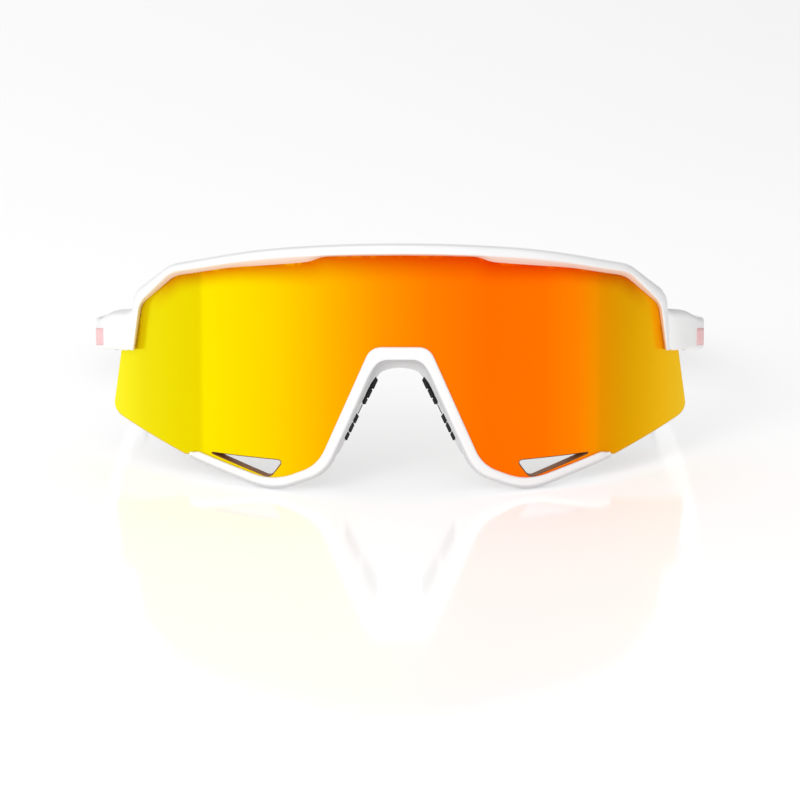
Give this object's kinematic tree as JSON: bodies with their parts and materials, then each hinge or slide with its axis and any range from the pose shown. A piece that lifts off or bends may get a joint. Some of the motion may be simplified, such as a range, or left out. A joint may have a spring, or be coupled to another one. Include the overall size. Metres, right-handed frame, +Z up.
{
  "type": "wraparound sport sunglasses",
  "caption": "Cycling sunglasses with a one-piece mirrored cylindrical shield lens, white frame, ribbed nose pads and folding rubber-tipped temples.",
  "frame": {"origin": "middle of the footprint, on the table the glasses stand on", "axes": "+X towards the wearer's left, +Y from the lens back towards the temple tips, +Z up"},
  "size_m": [0.1464, 0.1628, 0.0583],
  "materials": {
    "white_plastic": "matt white moulded plastic",
    "black_rubber": "matt black rubber",
    "steel": "plain stainless steel",
    "mirror_lens": "orange mirror coating on tinted plastic"
  },
  "bodies": {
    "front": {"brow_frame": "white_plastic", "shield_lens": "mirror_lens", "lower_rim": "white_plastic", "nose_saddle": "white_plastic", "left_nose_pad": "black_rubber", "left_frame_leaf": "steel", "left_frame_leaf_screw": "steel", "left_hinge_screw": "steel", "right_nose_pad": "black_rubber", "right_frame_leaf": "steel", "right_frame_leaf_screw": "steel", "right_hinge_screw": "steel"},
    "left_temple": {"left_temple_arm": "white_plastic", "left_temple_tip": "black_rubber", "left_temple_leaf": "steel", "left_temple_leaf_screw": "steel"},
    "right_temple": {"right_temple_arm": "white_plastic", "right_temple_tip": "black_rubber", "right_temple_leaf": "steel", "right_temple_leaf_screw": "steel"}
  },
  "joints": [
    {"name": "left_temple_fold", "type": "hinge", "parent": "front", "child": "left_temple", "pos_m": [0.0664, -0.03538, 0.02819], "axis": [0, 0.0872, 0.9962], "range_deg": [0, 94]},
    {"name": "right_temple_fold", "type": "hinge", "parent": "front", "child": "right_temple", "pos_m": [-0.0664, -0.03538, 0.02819], "axis": [0, -0.0872, -0.9962], "range_deg": [0, 84]}
  ]
}
